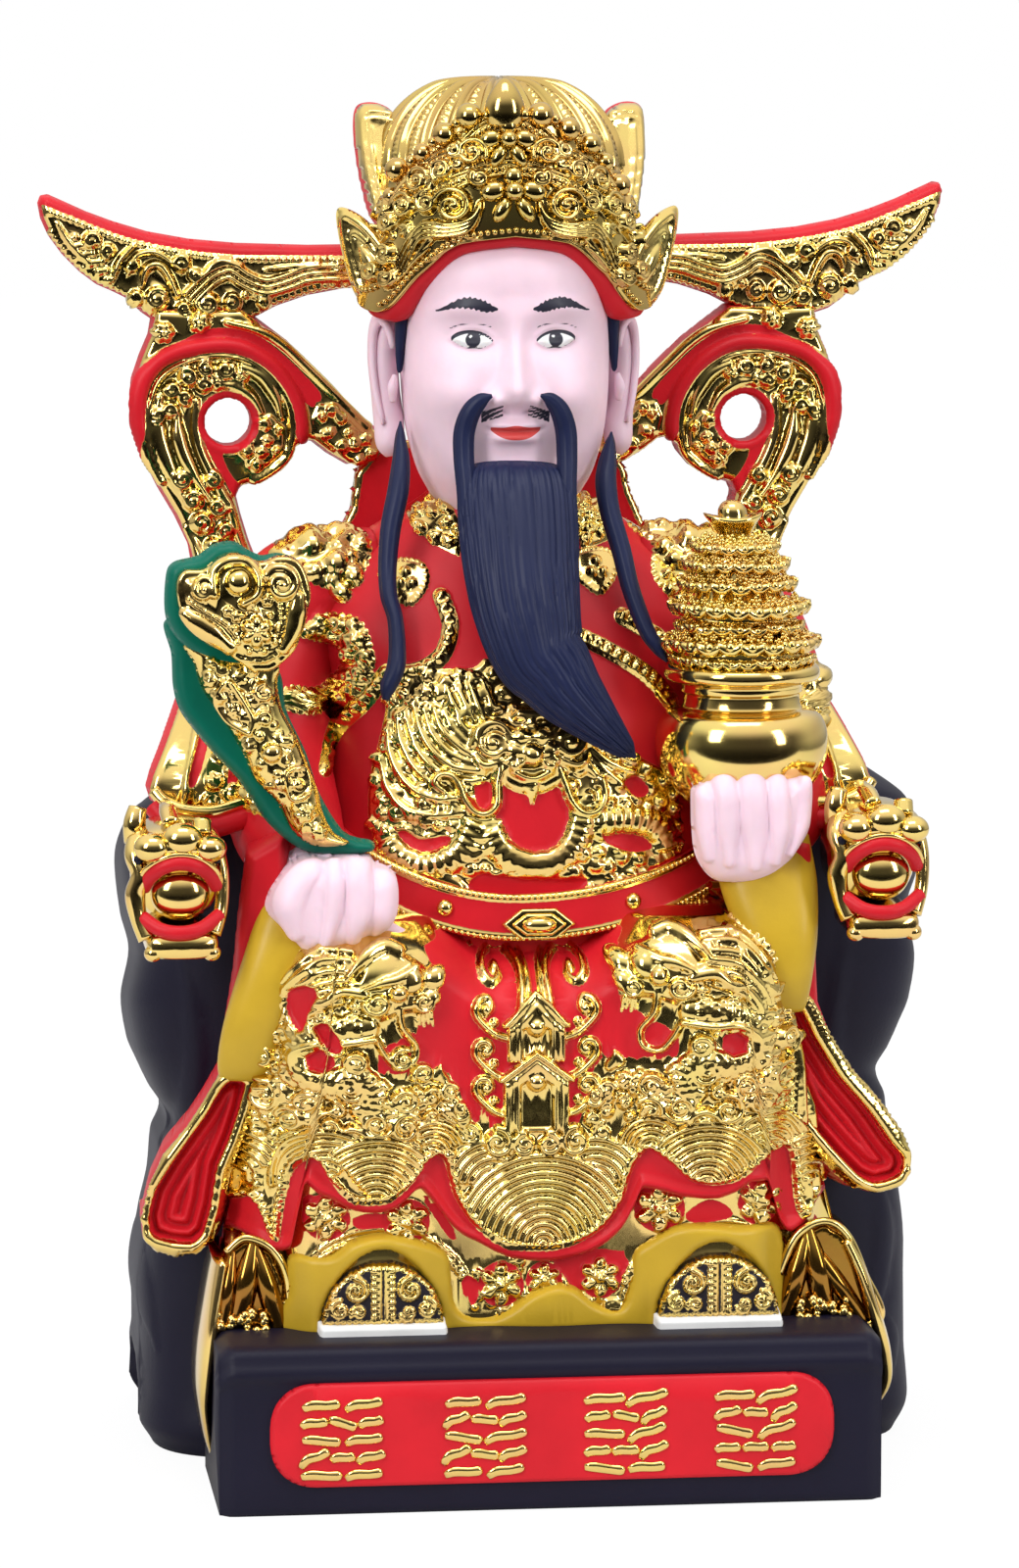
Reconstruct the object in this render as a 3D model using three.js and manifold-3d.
// A seated god of wealth, moulded in one hollow casting with his throne and plinth. He wears a winged official's
// hat and a dragon robe, and holds a ruyi sceptre in one hand and a treasure bowl heaped with ingots in the other.
// Millimetres, +Z up, the figure faces -Y, and the origin is on the floor under the middle of the casting.
import * as THREE from "three";
import { mergeVertices } from "three/addons/utils/BufferGeometryUtils.js";
import Module from "manifold-3d";

const wasm = await Module();
wasm.setup();

// Driving sizes
const figureHeight = 400; // floor to the top of the hat
const overallDepth = 186; // from the face of the plaque's strokes to the throne's back
const plinthWidth = 188;
const plinthDepth = 66;
const plinthHeight = 48;
const plinthEdge = 3; // rounding along the plinth's edges
const plaqueWidth = 160;
const plaqueHeight = 29;
const plaqueRaise = 1.6; // how far the name plaque stands out of the plinth
const strokeRaise = 1.4; // how far the gilt strokes stand out of the plaque
const strokeWidth = 3.4;
const throneWidth = 218; // at the floor
const legArchHeight = 24; // clear height under the throne's sides and back
const legArchDepth = 12; // how far those arches are cut in
const backThickness = 17; // of the throne back's scrolled frame
const wingThickness = 11;
const scrollEye = 6.2; // radius of the hole in each scroll

const plinthFront = overallDepth / 2 - plaqueRaise - strokeRaise; // forward from the middle of the casting

// The free form is set out on a grid of 400 units to the figure's height.
const unit = figureHeight / 400;
const wingSpan = 268 * unit; // tip to tip
const robeFoot = plinthHeight - 3 * unit; // the hem lies a little over the plinth's top edge

// Points and sections

function smoothRows(rows, steps) {
  // Catmull-Rom through rows of numbers, each column on its own, as steps + 1 rows.
  const out = [];
  for (let i = 0; i <= steps; i++) {
    const t = (i / steps) * (rows.length - 1);
    const k = Math.min(Math.floor(t), rows.length - 2);
    const f = t - k;
    const [p0, p1, p2, p3] = [k - 1, k, k + 1, k + 2].map((n) => rows[THREE.MathUtils.clamp(n, 0, rows.length - 1)]);
    out.push(
      p1.map((_, c) => {
        const a = 2 * p1[c];
        const b = p2[c] - p0[c];
        const d = 2 * p0[c] - 5 * p1[c] + 4 * p2[c] - p3[c];
        const e = -p0[c] + 3 * p1[c] - 3 * p2[c] + p3[c];
        return (a + b * f + d * f * f + e * f * f * f) / 2;
      }),
    );
  }
  return out;
}

function valueAt(pairs, x) {
  // A height read off a row of [x, height] pairs, eased between neighbours.
  if (x <= pairs[0][0]) return pairs[0][1];
  for (let i = 1; i < pairs.length; i++) {
    const [x0, h0] = pairs[i - 1];
    const [x1, h1] = pairs[i];
    if (x <= x1) return THREE.MathUtils.lerp(h0, h1, THREE.MathUtils.smoothstep(x, x0, x1));
  }
  return pairs.at(-1)[1];
}

function hump(x, centre, reach) {
  return Math.exp(-(((x - centre) / reach) ** 2));
}

function scaled(rows) {
  return rows.map((row) => row.map((value) => value * unit));
}

// Solids

function solidOf(geometry) {
  const bare = new THREE.BufferGeometry().setAttribute("position", geometry.getAttribute("position"));
  if (geometry.index) bare.setIndex(geometry.index);
  const merged = mergeVertices(bare, 1e-4);
  const corners = merged.index.array;
  const whole = [];
  for (let i = 0; i < corners.length; i += 3) {
    const [a, b, c] = corners.slice(i, i + 3);
    if (a !== b && b !== c && c !== a) whole.push(a, b, c);
  }
  return new wasm.Manifold(
    new wasm.Mesh({
      numProp: 3,
      vertProperties: merged.attributes.position.array,
      triVerts: new Uint32Array(whole),
    }),
  );
}

function skin(rings) {
  // A closed solid over rings of points, each ring with as many points as the next.
  const around = rings[0].length;
  const points = rings.flat();
  const hub = (ring) => [0, 1, 2].map((c) => ring.reduce((sum, p) => sum + p[c], 0) / ring.length);
  const start = points.push(hub(rings[0])) - 1;
  const end = points.push(hub(rings.at(-1))) - 1;
  const last = (rings.length - 1) * around;
  const index = [];
  for (let j = 0; j < around; j++) {
    const next = (j + 1) % around;
    for (let i = 0; i < last; i += around) {
      index.push(i + j, i + next, i + j + around, i + next, i + next + around, i + j + around);
    }
    index.push(start, next, j, end, last + j, last + next);
  }
  const corner = (n) => new THREE.Vector3(...points[n]);
  let volume = 0;
  for (let i = 0; i < index.length; i += 3) {
    volume += corner(index[i]).dot(corner(index[i + 1]).cross(corner(index[i + 2])));
  }
  if (volume < 0) index.reverse();
  const geometry = new THREE.BufferGeometry();
  geometry.setAttribute("position", new THREE.Float32BufferAttribute(points.flat(), 3));
  return solidOf(geometry.setIndex(index));
}

function levelRing(x, y, z, a, b, power, around) {
  // A level superellipse: power 2 is an ellipse, and more is squarer.
  return Array.from({ length: around }, (_, j) => {
    const turn = (2 * Math.PI * (j + 0.5)) / around;
    const c = Math.cos(turn);
    const s = Math.sin(turn);
    const round = (v) => Math.sign(v) * Math.abs(v) ** (2 / power);
    return [x + a * round(c), y + b * round(s), z];
  });
}

function stack(rows, around, power = 2) {
  // Rows of [z, half width, front, back] and, if the middle isn't at 0, [x].
  return skin(
    rows.map(([z, half, front, back, x = 0]) =>
      levelRing(x, (front + back) / 2, z, half, (back - front) / 2, power, around),
    ),
  );
}

function bar(rows, sides, steps, across = [0, 1, 0], flute = 0) {
  // A bar along rows of [x, y, z, half width, half thickness]; its width lies square to `across` and to its run.
  const path = smoothRows(scaled(rows), steps);
  const facing = new THREE.Vector3(...across);
  return skin(
    path.map(([x, y, z, half, thick], i) => {
      const before = new THREE.Vector3(...path[Math.max(i - 1, 0)].slice(0, 3));
      const after = new THREE.Vector3(...path[Math.min(i + 1, path.length - 1)].slice(0, 3));
      const run = after.sub(before).normalize();
      const wide = new THREE.Vector3().crossVectors(run, facing).normalize();
      const deep = new THREE.Vector3().crossVectors(wide, run);
      return Array.from({ length: sides }, (_, j) => {
        const turn = (2 * Math.PI * (j + 0.5)) / sides;
        const groove = 1 - flute * (j % 2);
        const w = half * Math.cos(turn) * groove;
        const d = thick * Math.sin(turn) * groove;
        return [x + wide.x * w + deep.x * d, y + wide.y * w + deep.y * d, z + wide.z * w + deep.z * d];
      });
    }),
  );
}

function ball([x, y, z], [rx, ry, rz], around = 10, down = 6) {
  const geometry = new THREE.SphereGeometry(1, around, down);
  geometry.rotateX(Math.PI / 2).scale(rx * unit, ry * unit, rz * unit);
  return solidOf(geometry.translate(x * unit, y * unit, z * unit));
}

function turned(profile, around) {
  // Profile rows of [radius, z], from the axis to the axis.
  const points = scaled(profile).map(([r, z]) => new THREE.Vector2(r, z));
  return new THREE.LatheGeometry(points, around).rotateX(Math.PI / 2);
}

function shapeOf(points) {
  return new THREE.Shape(points.map(([x, z]) => new THREE.Vector2(x, z)));
}

function wound(points, clockwise) {
  const flat = points.map(([x, z]) => new THREE.Vector2(x, z));
  return THREE.ShapeUtils.isClockWise(flat) === clockwise ? points : points.toReversed();
}

function closedSpline(points, steps) {
  const curve = new THREE.CatmullRomCurve3(points.map(([x, z]) => new THREE.Vector3(x, z, 0)), true, "centripetal");
  return curve.getPoints(steps).slice(0, steps).map((p) => [p.x, p.y]);
}

function plate(outline, front, back, edge, holes = []) {
  // An upright plate cut to an outline of [x, z], from y = front to y = back, with its edges broken.
  const shape = shapeOf(wound(outline, false));
  shape.holes = holes.map((hole) => shapeOf(wound(hole, true)));
  const geometry = new THREE.ExtrudeGeometry(shape, {
    depth: back - front - 2 * edge,
    bevelEnabled: edge > 0,
    bevelThickness: edge,
    bevelSize: edge,
    bevelOffset: -edge,
    bevelSegments: 1,
    curveSegments: 6,
  });
  return solidOf(geometry.rotateX(Math.PI / 2).translate(0, back - edge, 0));
}

function flipped(points, side) {
  return side < 0 ? points.map(([x, ...rest]) => [-x, ...rest]) : points;
}

function join(solids) {
  return wasm.Manifold.union(solids);
}

function filled(solid) {
  // The solid without the small pockets that overlapping pieces seal off inside it.
  return join(solid.decompose().filter((shell) => shell.volume() > 0));
}

const bothSides = [-1, 1];

// Plinth with its plaque

function plinth() {
  // A long block with a rolled top edge and eased ends.
  const edge = plinthEdge;
  const front = -plinthFront;
  const back = front + plinthDepth;
  const profile = (inset) => [
    [front + inset, 0],
    [front + inset, plinthHeight - 3 * edge],
    [front + inset - 0.4 * edge, plinthHeight - 2.4 * edge],
    [front + inset + 0.5 * edge, plinthHeight - inset - 0.8 * edge],
    [front + inset + 2 * edge, plinthHeight - inset],
    [back, plinthHeight - inset],
    [back, 0],
  ];
  const half = plinthWidth / 2;
  const slices = [
    [-half, edge],
    [edge - half, 0],
    [half - edge, 0],
    [half, edge],
  ];
  return skin(slices.map(([x, inset]) => profile(inset).map(([y, z]) => [x, y, z])));
}

function plaque() {
  // A long cartouche with bowed ends.
  const middle = plinthHeight / 2 - 1;
  const half = plaqueWidth / 2;
  const tall = plaqueHeight / 2;
  const bow = 8; // how far each end bulges past its corners
  const quarter = [
    [half - bow * 2, tall],
    [half - bow * 0.6, tall * 0.75],
    [half, tall * 0.1],
  ];
  const right = [...quarter, ...quarter.toReversed().map(([x, z]) => [x, -z])];
  const outline = [...right, ...right.toReversed().map(([x, z]) => [-x, z])].map(([x, z]) => [x, z + middle]);
  return plate(outline, -plinthFront - plaqueRaise, -plinthFront + 3, 0.6);
}

function inscriptionStrokes() {
  // Two rows of slanting strokes in four groups, where the wording would be.
  const groups = 4;
  const perRow = 2;
  const pitch = plaqueWidth / (groups + 0.55);
  const spacing = pitch / (perRow + 0.9);
  const front = -plinthFront - plaqueRaise - strokeRaise;
  const strokes = [];
  for (let g = 0; g < groups; g++) {
    for (let row = 0; row < 2; row++) {
      for (let n = 0; n < perRow; n++) {
        const x = (g - (groups - 1) / 2) * pitch + (n - (perRow - 1) / 2) * spacing;
        const z = plinthHeight / 2 - 1 + (row ? 5 : -5);
        const lean = row ? 1.6 : -1.6;
        const half = plaqueHeight * (n % 2 ? 0.12 : 0.155);
        const outline = [
          [x - lean - strokeWidth / 2, z - half],
          [x - lean + strokeWidth / 2, z - half],
          [x + lean + strokeWidth / 2, z + half],
          [x + lean - strokeWidth / 2, z + half],
        ];
        strokes.push(plate(outline, front, -plinthFront, 0));
      }
    }
  }
  return join(strokes);
}

// Throne

function throneSeat() {
  // The block: a cabriole outline that swells at the arms and flares at the feet, with low arches between them.
  const front = -25 * unit;
  const back = overallDepth / 2 + 1;
  const half = throneWidth / 2;
  const rows = [
    [0, 0, 3],
    [9, 5, 0],
    [22, 3, 2],
    [46, -2, 5],
    [63, 1, 3],
    [95, -5, 5],
    [126, 0, 4],
    [176, 5, 1],
    [194, 2, 3],
    [206, -12, 14],
  ].map(([z, grow, inset]) => [z * unit, half + grow * unit, front + inset, back - inset]);
  const arch = (from, to) => [
    [from, -1],
    [to, -1],
    [to - 6, legArchHeight * 0.75],
    [(from + to) / 2, legArchHeight],
    [from + 6, legArchHeight * 0.75],
  ];
  const sideArches = bothSides.map((side) =>
    skin([half - legArchDepth, half + 20].map((x) => arch(8, back - 28).map(([y, z]) => [side * x, y, z]))),
  );
  const rearArch = skin([back - legArchDepth, back + 20].map((y) => arch(30 - half, half - 30).map(([x, z]) => [x, y, z])));
  return [...sideArches, rearArch].reduce((solid, cut) => solid.subtract(cut), stack(rows, 14, 5));
}

const backPlane = 34 * unit; // the front of the throne back
const eyeX = 77 * unit;
const eyeZ = 297 * unit;

function throneBack() {
  // On each side a scroll with an open eye above a flared lower panel, and an arm from the scroll to the neck.
  const side = [
    [101, 182],
    [102, 196],
    [90, 236],
    [86, 252],
    [93, 264],
    [101, 279],
    [107, 298],
    [106, 313],
    [100, 322],
    [98, 332],
    [75, 332],
    [72, 326],
    [58, 317],
    [44, 302],
    [30, 284],
    [34, 277],
    [54, 293],
    [55, 284],
    [63, 276],
    [70, 270],
    [69, 258],
    [60, 240],
  ];
  const eye = Array.from({ length: 8 }, (_, j) => {
    const turn = (2 * Math.PI * (j + 0.5)) / 8;
    return [eyeX + scrollEye * Math.cos(turn), eyeZ + scrollEye * Math.sin(turn)];
  });
  const frames = bothSides.map((s) =>
    plate(flipped(scaled(side), s), backPlane, backPlane + backThickness, 1.2 * unit, [flipped(eye, s)]),
  );
  const panel = plate(
    scaled([
      [-98, 184],
      [98, 184],
      [88, 232],
      [60, 252],
      [36, 284],
      [0, 300],
      [-36, 284],
      [-60, 252],
      [-88, 232],
    ]),
    backPlane + 3,
    backPlane + backThickness - 3,
    0,
  );
  const ridge = [
    [62, 32, 268, 2.5, 2],
    [57, 32, 291, 3.2, 3],
    [64, 32, 311, 3.6, 3],
    [82, 32, 318, 4, 3],
    [97, 32, 303, 4, 3],
    [95, 32, 278, 4, 3],
    [80, 33, 254, 2.6, 2],
  ];
  return join([...frames, panel, ...bothSides.map((s) => bar(flipped(ridge, s), 4, 11))]);
}

function throneArm(side) {
  // Armrest ending in a dragon's head: brow, horns and open lips round a ball.
  const x = side * 100;
  const neck = bar(
    [
      [x, 6, 184, 14, 17],
      [x, -36, 181, 13, 17],
      [x, -54, 184, 14, 13],
      [x, -68, 187, 8, 7],
    ],
    8,
    4,
    [0, 0, 1],
  );
  const jaw = bar(
    [
      [x, -40, 166, 11, 7],
      [x, -60, 162, 12, 6],
      [x, -73, 163, 6, 4],
    ],
    6,
    2,
    [0, 0, 1],
  );
  const pearl = ball([x, -64, 174.5], [9, 9, 9], 7, 5);
  const horns = [-1, 1].map((n) =>
    bar(
      [
        [x + n * 8, -56, 190, 5, 4],
        [x + n * 11, -48, 198, 4, 3],
        [x + n * 12.5, -42, 204, 1, 1],
      ],
      4,
      2,
    ),
  );
  return join([neck, jaw, pearl, ...horns]);
}

// Robe

const kneeX = 48;
const skirtShift = 4; // the hem sits a little to the figure's left

function skirtFront(x, z) {
  // How far forward (as -y) the robe stands at x and at a height z above the floor, on the grid.
  const knees = hump(Math.abs(x), kneeX, 24);
  const shin = 5 + 6 * THREE.MathUtils.smoothstep(z, 70, 140);
  const valley = 3 * hump(x, 0, 16) * THREE.MathUtils.smoothstep(z, 60, 120);
  const lap = THREE.MathUtils.clamp((z - 150) / 18, 0, 1);
  const sides = 26 * THREE.MathUtils.clamp((Math.abs(x) - 58) / 34, 0, 1) ** 2;
  const folds = 1.3 * Math.sin(Math.abs(x) * 0.42) * THREE.MathUtils.smoothstep(Math.abs(x), 55, 75);
  return 62 + shin * knees + valley - 18 * lap ** 2 - sides + folds - 0.03 * (z - 60);
}

const hemLobes = [
  [0, 66],
  [9, 68],
  [17, 75],
  [24, 88],
  [29.5, 96],
  [36, 87],
  [47, 82],
  [58, 87],
  [65, 95],
  [69, 88],
  [74, 74],
  [80, 73],
  [86, 79],
];

function hemLine(x) {
  return valueAt(hemLobes, Math.abs(x - skirtShift));
}

function skirtHalf(z) {
  return valueAt(
    [
      [44, 93],
      [64, 89],
      [90, 79],
      [106, 77],
      [140, 76],
      [158, 72],
      [170, 62],
    ],
    z,
  );
}

function drape(columns, heights, low, proud, roll = 0) {
  // A hanging layer of the robe: upright slices from side to side, each from low(x) upwards, with a flat back.
  const rings = [];
  for (let i = 0; i <= columns; i++) {
    const s = (2 * i) / columns - 1;
    const foot = low(s * 82);
    const edge = [
      [foot, proud + roll * 0.5],
      [foot + 1.5, proud + roll],
      [foot + 4, proud + roll * 0.8],
    ];
    const rise = [...(roll ? edge : edge.slice(0, 1)), ...heights.map((z) => [Math.max(z, foot + 5), proud])];
    const front = rise.map(([z, out]) => [s * skirtHalf(z), -skirtFront(s * skirtHalf(z), z) - out, z]);
    const behind = [heights.at(-1), foot].map((z) => [s * skirtHalf(z), -22, z]);
    rings.push(scaled([...front, ...behind]));
  }
  return skin(rings);
}

const shoes = [-44, 52];
const soleTop = 51;

function robeSkirts() {
  // Underskirt arched over each shoe, the scalloped overskirt with its rolled edge, and the body behind them.
  const archHalf = 19;
  const underFoot = (x) => {
    const arch = Math.max(...shoes.map((c) => 1 - ((x - c) / archHalf) ** 2));
    return robeFoot / unit + (arch > 0 ? 20 * Math.sqrt(arch) : 0);
  };
  const under = drape(20, [96], underFoot, 0);
  const over = drape(24, [112, 140, 154, 166], hemLine, 3, 2.4);
  const core = stack(
    scaled([
      [44, 88, -52, 20],
      [84, 76, -54, 20],
      [172, 58, -34, 30],
    ]),
    10,
    5,
  );
  return join([under, over, core]);
}

function satinHems() {
  // The satin hem that arches over each shoe.
  return join(
    shoes.map((c) =>
      bar(
        [-23, -20, -12, 0, 12, 20, 23].map((dx) => {
          const z = 49 + 22 * Math.sqrt(Math.max(0, 1 - (dx / 23) ** 2));
          return [c + dx, -skirtFront(c + dx, z) - 1, z, 5, 4];
        }),
        4,
        6,
      ),
    ),
  );
}

function hemTails() {
  // The robe's outer corners, which hang past the plinth's ends.
  return join(
    bothSides.map((side) =>
      bar(
        flipped(
          [
            [90, -46, 66, 3, 17],
            [94, -45, 48, 3.4, 20],
            [98, -43, 28, 3.2, 18],
            [101, -40, 8, 2, 11],
          ],
          side,
        ),
        6,
        3,
      ),
    ),
  );
}

function boots() {
  const toe = [
    [-17.5, soleTop - 0.5],
    [17.5, soleTop - 0.5],
    [16, 60],
    [9, 66.5],
    [0, 68.5],
    [-9, 66.5],
    [-16, 60],
  ];
  const sole = [
    [-18, robeFoot / unit - 1],
    [18, robeFoot / unit - 1],
    [18, soleTop],
    [-18, soleTop],
  ];
  const placed = (outline, c) => scaled(outline.map(([x, z]) => [x + c, z]));
  return join(
    shoes.flatMap((c) => [
      plate(placed(toe, c), -72 * unit, -40 * unit, 0),
      plate(placed(sole, c), -75 * unit, -40 * unit, 0),
    ]),
  );
}

function torso() {
  const rows = [
    [150, 60, -47, 40],
    [182, 58, -48, 40],
    [206, 54, -44, 40],
    [226, 53, -38, 39],
    [244, 57, -29, 38],
    [258, 53, -19, 38],
    [268, 40, -12, 38],
    [279, 22, -12, 34],
  ];
  return stack(scaled(rows), 14, 2.4);
}

const armPaths = {
  "-1": [
    [40, 8, 252, 18, 16],
    [60, 8, 250, 20, 19],
    [72, 2, 230, 19, 20],
    [77, -10, 206, 18, 20],
    [73, -30, 187, 17, 17],
    [63, -50, 174, 12, 12],
  ],
  1: [
    [40, 8, 252, 18, 16],
    [60, 8, 250, 20, 19],
    [73, 2, 232, 19, 20],
    [80, -10, 208, 18, 20],
    [76, -28, 190, 17, 17],
    [67, -46, 180, 12, 12],
  ],
};

function upperSleeve(side) {
  return bar(flipped(armPaths[side], side), 8, 5, [0, 0.3, 1]);
}

function wideSleeve(side) {
  // The sleeve's hanging mouth, hollowed in front, with a fold of the lining inside.
  const outline = [
    [68, 192],
    [82, 184],
    [86, 150],
    [91, 130],
    [99, 108],
    [111, 88],
    [113, 77],
    [108, 69],
    [96, 66],
    [85, 78],
    [77, 104],
    [68, 145],
  ];
  const mouth = [
    [80, 120],
    [92, 106],
    [106, 86],
    [108.5, 78],
    [104, 72.5],
    [97, 70.5],
    [88, 81],
    [81, 102],
  ];
  const front = -56 * unit;
  const slab = plate(flipped(scaled(outline), side), front, -8 * unit, 1.4 * unit);
  const hollow = plate(flipped(scaled(mouth), side), front - 2, front + 7 * unit, 0);
  const fold = [
    [84, -49.5, 112, 1.4, 1.4],
    [95, -50, 86, 2.6, 2.6],
    [101, -50, 80, 2.6, 2.6],
    [92, -49.5, 104, 1.4, 1.4],
  ];
  return slab.subtract(hollow).add(bar(flipped(fold, side), 4, 5));
}

function cuff(side) {
  // The plain inner sleeve that falls from the wrist.
  const rows =
    side < 0
      ? [
          [-63, -52, 166, 13, 8],
          [-72, -56, 152, 10, 8],
          [-79, -56, 136, 8.5, 7],
          [-81, -54, 122, 8, 6],
        ]
      : [
          [68, -50, 178, 14, 9],
          [70, -55, 164, 12.5, 8],
          [72, -58, 150, 9, 7],
          [72, -56, 139, 6, 5],
        ];
  return bar(rows, 7, 3);
}

function fist([x, y, z], fingers, half, tall) {
  // Closed hand seen knuckles-on: the folded fingers show as upright lobes across the front.
  const rows = [
    [-1, 0.62, 0.5],
    [-0.7, 0.9, 0.85],
    [0.1, 1, 1],
    [0.72, 0.94, 0.84],
    [1, 0.6, 0.4],
  ];
  const steps = 2 * fingers;
  const ring = ([up, wide, deep]) => {
    const front = Array.from({ length: steps + 1 }, (_, j) => {
      const s = (2 * j) / steps - 1;
      const lobe = j % 2 ? 1 : 0.8;
      return [x + s * half * wide, y - 11 * deep * lobe * Math.sqrt(1.15 - s * s * 0.75), z + up * tall];
    });
    const back = [0.8, -0.8].map((s) => [x + s * half * wide, y + 11 * deep, z + up * tall]);
    return scaled([...front, ...back]);
  };
  return skin(rows.map(ring));
}

// Belt, dragons and pendant

function aroundBelly(x, z) {
  // How far forward the torso stands at x, near the belt.
  const half = 60;
  return 2 + 46 * Math.max(0, 1 - (Math.abs(x) / half) ** 2.4) ** (1 / 2.4) - 0.02 * Math.abs(z - 175);
}

function belt() {
  const rows = [];
  for (let x = -56; x <= 56; x += 14) {
    const z = 159 + 13 * (x / 56) ** 2;
    rows.push([x, -aroundBelly(x, z) - 2, z, 6.5, 3]);
  }
  const buckle = scaled([
    [-10.5, 160],
    [-4, 154.5],
    [5, 154.5],
    [11.5, 160],
    [5, 165.5],
    [-4, 165.5],
  ]);
  const studs = [-29, 31].map((x) => ball([x, -aroundBelly(x, 163) - 5, 164], [2.8, 2.8, 2.8], 6, 3));
  return join([bar(rows, 4, 8), plate(buckle, -57 * unit, -44 * unit, 1.6 * unit), ...studs]);
}

function chestDragon() {
  // A dragon coiled in a ring round its own head, with a whorl of mane on each side.
  const coil = [];
  for (let turn = 200; turn <= 500; turn += 37.5) {
    const t = THREE.MathUtils.degToRad(turn);
    const [x, z] = [1 + 34 * Math.cos(t), 196 + 21 * Math.sin(t)];
    coil.push([x, -aroundBelly(x, z) + 1, z, 6.5, 4.5]);
  }
  const face = -aroundBelly(0, 210) - 1;
  const manes = [-1, 1].map((s) =>
    bar(
      [
        [1 + s * 35, -30, 220, 6, 4],
        [1 + s * 22, -39, 218, 7, 5],
        [1 + s * 8, -45, 214, 5, 5],
      ],
      5,
      2,
    ),
  );
  return join([
    bar(coil, 4, 10),
    ball([1, face, 211], [11, 6, 10], 7, 5),
    ball([1, face - 4, 204], [6, 5, 4.5], 6, 3),
    ...manes,
  ]);
}

function kneeDragon(side) {
  // Arched body over the knee, and a head turned to the middle with its mane streaming back.
  const on = (x, z, lift) => [side * x, -skirtFront(side * x, z) - 3 - lift, z];
  const body = [
    [69, 120],
    [68, 140],
    [54, 146],
    [45, 134],
    [54, 121],
    [64, 110],
    [52, 104],
    [40, 108],
  ].map(([x, z]) => [...on(x, z, 0), 5, 4.5]);
  const mane = [0, 1].map((n) =>
    bar(
      [
        [...on(34, 148 - n * 6, 1), 4, 4],
        [...on(46, 153 - n * 8, 1), 3.4, 3.4],
        [...on(58, 153 - n * 10, 0), 1, 1],
      ],
      4,
      2,
    ),
  );
  const head = bar(
    [
      [...on(40, 144, 1), 6, 5],
      [...on(31, 142, 2), 8.5, 7],
      [...on(22, 136, 2), 4.5, 4],
    ],
    6,
    2,
  );
  return join([bar(body, 4, 10), head, ...mane]);
}

function pendant() {
  // Two gabled plaques in line under the belt, scrolls beside them, and a fan of waves at the foot.
  const gable = (half, low, high, proud) =>
    plate(
      scaled([
        [-half, low],
        [half, low],
        [half, high - half * 0.6],
        [0, high],
        [-half, high - half * 0.6],
      ]),
      (-skirtFront(0, low) - proud) * unit,
      -50 * unit,
      0,
    );
  const scrolls = bothSides.flatMap((side) =>
    [132, 115].map((z) => ball([side * 13, -skirtFront(13, z) - 3, z], [5, 3.4, 6], 6, 3)),
  );
  const fans = [0, skirtShift / 2 - kneeX, skirtShift / 2 + kneeX].map((c) => {
    const rows = [170, 130, 90, 50, 10].map((turn) => {
      const t = THREE.MathUtils.degToRad(turn);
      const [x, z] = [c + 1 + 15 * Math.cos(t), 78 + 15 * Math.sin(t) + (c ? 10 : 0)];
      return [x, -skirtFront(x, z) - 3, z, 3, 2.4];
    });
    return bar(rows, 4, 5);
  });
  return join([gable(9.5, 104, 131, 6), gable(8, 122, 146, 5), ...scrolls, ...fans]);
}

// Head

function head() {
  const face = stack(
    scaled([
      [266, 16, -12, 24, -1],
      [279, 20, -20, 26, -1],
      [288, 26, -24, 28, -1],
      [302, 29.5, -25, 30, -1],
      [324, 30.5, -25, 32, -1],
      [344, 29, -24, 32, -1],
      [358, 25, -18, 30, -1],
    ]),
    14,
    2.3,
  );
  const nose = bar(
    [
      [-1, -22, 330, 2.5, 3],
      [-1, -27, 316, 4.2, 4.5],
      [-1, -26, 310.5, 5, 3.5],
    ],
    6,
    3,
  );
  const eyes = [-1, 1].map((s) => ball([-1 + s * 12.5, -22, 325.5], [5.2, 3, 2.4], 6, 3));
  const mouth = ball([-1, -24.5, 301], [7, 2.6, 2.6], 6, 3);
  const ears = [-1, 1].map((s) =>
    bar(
      [
        [-1 + s * 31, 5, 330, 2.5, 5],
        [-1 + s * 34.5, 6, 318, 2.6, 7],
        [-1 + s * 33.5, 4, 302, 3, 5],
        [-1 + s * 32, 3, 294, 2, 3],
      ],
      6,
      4,
    ),
  );
  const collar = stack(
    scaled([
      [262, 31, -19, 30],
      [277, 23, -15, 25],
    ]),
    10,
  );
  return join([face, nose, ...eyes, mouth, ...ears, collar]);
}

function beard() {
  // One long fluted sweep to the figure's left, the moustache's two ends, and a lock beside each ear.
  const sweep = bar(
    [
      [-1, -22, 294, 15, 6],
      [-1, -36, 270, 16.5, 9],
      [3, -44, 248, 15, 9],
      [13, -50, 228, 12.5, 8],
      [24, -53, 215, 6.5, 5],
      [33, -53, 208, 1.2, 1.2],
    ],
    12,
    6,
    [0, 1, 0],
    0.12,
  );
  const moustache = [-1, 1].map((s) =>
    bar(
      [
        [-1 + s * 4, -26, 309, 1.5, 1.5],
        [-1 + s * 14, -28, 304, 3.4, 3],
        [-1 + s * 16, -34, 276, 2.6, 2.6],
      ],
      5,
      4,
    ),
  );
  const locks = [
    [
      [-27, -14, 303, 4, 4],
      [-31, -20, 284, 5, 5],
      [-37, -26, 256, 4, 5],
      [-39, -38, 226, 3, 4],
    ],
    [
      [26, -14, 302, 4, 4],
      [26, -20, 286, 5, 5],
      [31, -24, 262, 4, 5],
      [43, -33, 236, 2, 3],
    ],
  ].map((rows) => bar(rows, 5, 4));
  return join([sweep, ...moustache, ...locks]);
}

// Hat

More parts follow.
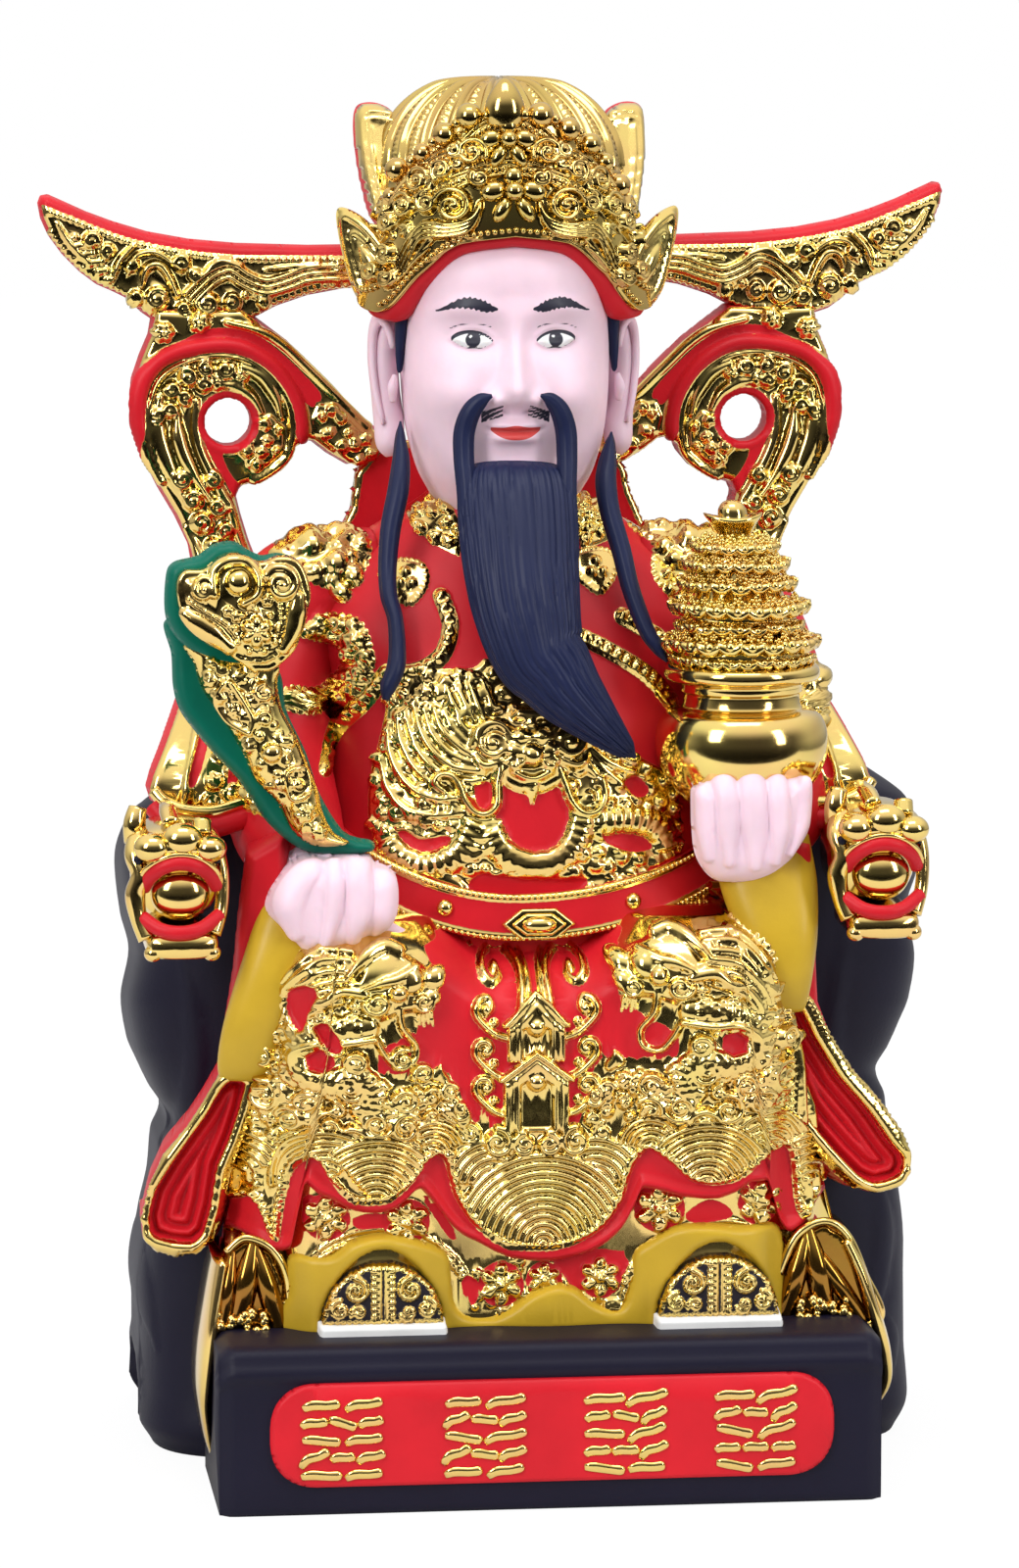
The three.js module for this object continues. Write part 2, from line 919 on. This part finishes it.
function crestHeight(turn) {
  // Height of the crown's top edge, by angle from the front in degrees: a row of pearls that steps down to each ear.
  const edge = valueAt(
    [
      [0, 387],
      [20, 386],
      [38, 380],
      [55, 373],
      [72, 364],
      [100, 357],
    ],
    Math.abs(turn),
  );
  return edge + (Math.abs(turn) < 18 ? 0 : 2.6 * Math.abs(Math.cos((turn * Math.PI) / 16)));
}

function browHeight(turn) {
  // Height of the crown's lower edge: high over the forehead, low in a lobe over each ear.
  return valueAt(
    [
      [0, 355],
      [22, 353],
      [42, 344],
      [62, 333],
      [82, 336],
      [100, 343],
    ],
    Math.abs(turn),
  );
}

function crownPoint(turn, radius, z) {
  const t = THREE.MathUtils.degToRad(turn);
  return [-1 + radius * 1.04 * Math.sin(t), 6 - radius * 0.86 * Math.cos(t), z];
}

function crown() {
  const rings = [];
  for (let turn = -104; turn <= 104; turn += 8) {
    const low = browHeight(turn);
    const high = crestHeight(turn);
    const flare = 4 * hump(Math.abs(turn), 72, 22);
    const ring = [
      crownPoint(turn, 30, low + 2),
      crownPoint(turn, 38.5 + flare, low + 2),
      crownPoint(turn, 36.5 + flare / 2, (low + high) / 2),
      crownPoint(turn, 34.5, high - 4),
      crownPoint(turn, 33, high),
      crownPoint(turn, 27, high - 3),
    ];
    rings.push(scaled(ring));
  }
  const cap = stack(
    scaled([
      [338, 33, -18, 40, -1],
      [352, 35, -25, 42, -1],
      [376, 34, -15, 42, -1],
      [391, 30, -4, 39, -1],
      [398, 20, 3, 32, -1],
      [400, 10, 8, 26, -1],
    ]),
    12,
    2.6,
  );
  return join([skin(rings), cap]);
}

function crownTrim() {
  // The finial, two blossoms over the brow, a raised row of scrolls, and the side flanges and boards.
  const spike = bar(
    [
      [-1, -24, 380, 3.4, 3.4],
      [-1, -23, 389, 5, 4],
      [-1, -21, 399.5, 0.8, 0.8],
    ],
    6,
    3,
  );
  const blossoms = [
    [378, 34.5],
    [361, 37.5],
  ].map(([z, r]) => ball(crownPoint(0, r, z), [7, 3.4, 4.6], 6, 4));
  const scrolls = [];
  for (let turn = -78; turn <= 78; turn += 26) {
    const z = (browHeight(turn) + crestHeight(turn)) / 2;
    scrolls.push([...crownPoint(turn, 36.5 + 3 * hump(Math.abs(turn), 72, 22), z), 2.4, 2.4]);
  }
  const flange = [
    [30, 337],
    [37, 332],
    [45, 342],
    [47, 360],
    [43, 362],
    [34, 352],
  ];
  const board = [
    [28, 356],
    [40, 356],
    [43.5, 374],
    [40, 391],
    [32, 388],
    [28, 378],
  ];
  const upright = (outline, side, front, back) => plate(scaled(flipped(outline, side)), front * unit, back * unit, 0);
  return join([
    spike,
    ...blossoms,
    bar(scrolls, 4, 9, [0, 0, 1]),
    ...bothSides.map((side) => upright(flange, side, -12, 2)),
    ...bothSides.map((side) => upright(board, side, 2, 32)),
  ]);
}

function hatWing(side) {
  const tip = wingSpan / 2 / unit;
  const outline = [
    [34, 350],
    [76, 350.5],
    [102, 354],
    [120, 360],
    [tip - 3, 365],
    [tip, 362],
    [tip - 3, 353],
    [tip - 12, 342],
    [tip - 22, 336.5],
    [tip - 30, 330],
    [tip - 44, 326],
    [tip - 60, 327],
    [tip - 70, 332],
    [tip - 90, 337],
    [34, 337],
  ];
  const front = 36 * unit;
  const wing = plate(flipped(scaled(outline), side), front, front + wingThickness, 1.2 * unit);
  const vein = bar(
    flipped(
      [
        [38, 36, 343.5, 5, 4],
        [70, 35.5, 341, 3, 2.4],
        [98, 35, 341, 4.5, 3],
        [128, 36, 358, 1.4, 1.2],
      ],
      side,
    ),
    5,
    5,
  );
  return join([wing, vein]);
}

// Sceptre and bowl

function sceptre() {
  // The ruyi: a trefoil cloud head over a stem that sways down into the fist.
  const head = [
    [-83, 272],
    [-92, 268],
    [-101, 258],
    [-101, 248],
    [-94, 240],
    [-84, 235],
    [-74, 234],
    [-67, 241],
    [-64, 251],
    [-66, 262],
    [-73, 269],
  ];
  const plateFront = -68;
  const face = plate(scaled(head), plateFront * unit, (plateFront + 12) * unit, 2 * unit);
  const lobes = [
    [-80, 261, 8],
    [-93, 253, 6],
    [-78, 245, 7],
  ].map(([x, z, r]) => ball([x, plateFront + 1, z], [r, 4, r], 7, 3));
  const stem = bar(
    [
      [-96, -56, 252, 9, 5],
      [-94, -58, 234, 9.5, 5.5],
      [-82, -62, 213, 9.5, 6],
      [-69, -63, 196, 8.5, 6],
      [-52, -60, 184, 6, 4],
    ],
    6,
    7,
  );
  return join([face, ...lobes, stem]);
}

const bowlAt = [65, -40];

function treasureBowl() {
  // A footed bowl heaped with tiers of ingots, the top one with its boat shape and dome.
  const profile = [
    [190, 14, 1],
    [198, 20, 1],
    [212, 25, 1],
    [223, 20.5, 1],
    [228, 22.5, 1],
    [233, 23.5, 1],
    ...[
      [236, 21],
      [245, 19.5],
      [253, 18],
      [260, 16],
    ].flatMap(([z, r]) => [
      [z, r * 0.8, 1],
      [z + 2.5, r, 0.88],
    ]),
    [266, 9, 1],
    [268, 8, 1],
    [275, 12, 1],
    [276, 7, 1],
    [279, 5, 1],
    [280.5, 2, 1],
  ];
  const around = 12;
  return skin(
    profile.map(([z, r, dent]) =>
      Array.from({ length: around }, (_, j) => {
        const turn = (2 * Math.PI * j) / around;
        const reach = r * (j % 2 ? dent : 1);
        return [
          (bowlAt[0] + reach * Math.cos(turn)) * unit,
          (bowlAt[1] + reach * Math.sin(turn)) * unit,
          (z + (j % 2 ? (1 - dent) * 8 : 0)) * unit,
        ];
      }),
    ),
  );
}

function meshOf(name, solid, look) {
  const { vertProperties, triVerts } = solid.getMesh();
  const geometry = new THREE.BufferGeometry();
  geometry.setAttribute("position", new THREE.Float32BufferAttribute(vertProperties, 3));
  geometry.setIndex(new THREE.Uint32BufferAttribute(triVerts, 1));
  geometry.computeVertexNormals();
  const mesh = new THREE.Mesh(geometry, new THREE.MeshStandardMaterial(look));
  mesh.name = name;
  return mesh;
}

const casting = join([
  plinth(),
  plaque(),
  inscriptionStrokes(),
  throneSeat(),
  throneBack(),
  ...bothSides.map(throneArm),
  robeSkirts(),
  satinHems(),
  hemTails(),
  boots(),
  torso(),
  ...bothSides.map(upperSleeve),
  ...bothSides.map(wideSleeve),
  ...bothSides.map(cuff),
  fist([-56, -60, 171], 4, 18, 15),
  fist([64, -55, 187], 5, 16.5, 16),
  belt(),
  chestDragon(),
  ...bothSides.map(kneeDragon),
  pendant(),
  head(),
  beard(),
  crown(),
  crownTrim(),
  ...bothSides.map(hatWing),
  sceptre(),
  treasureBowl(),
]);

const figure = new THREE.Group();
figure.add(meshOf("seated_figure", filled(casting), { color: 0xd9ac35, metalness: 1, roughness: 0.2 }));

export default figure;
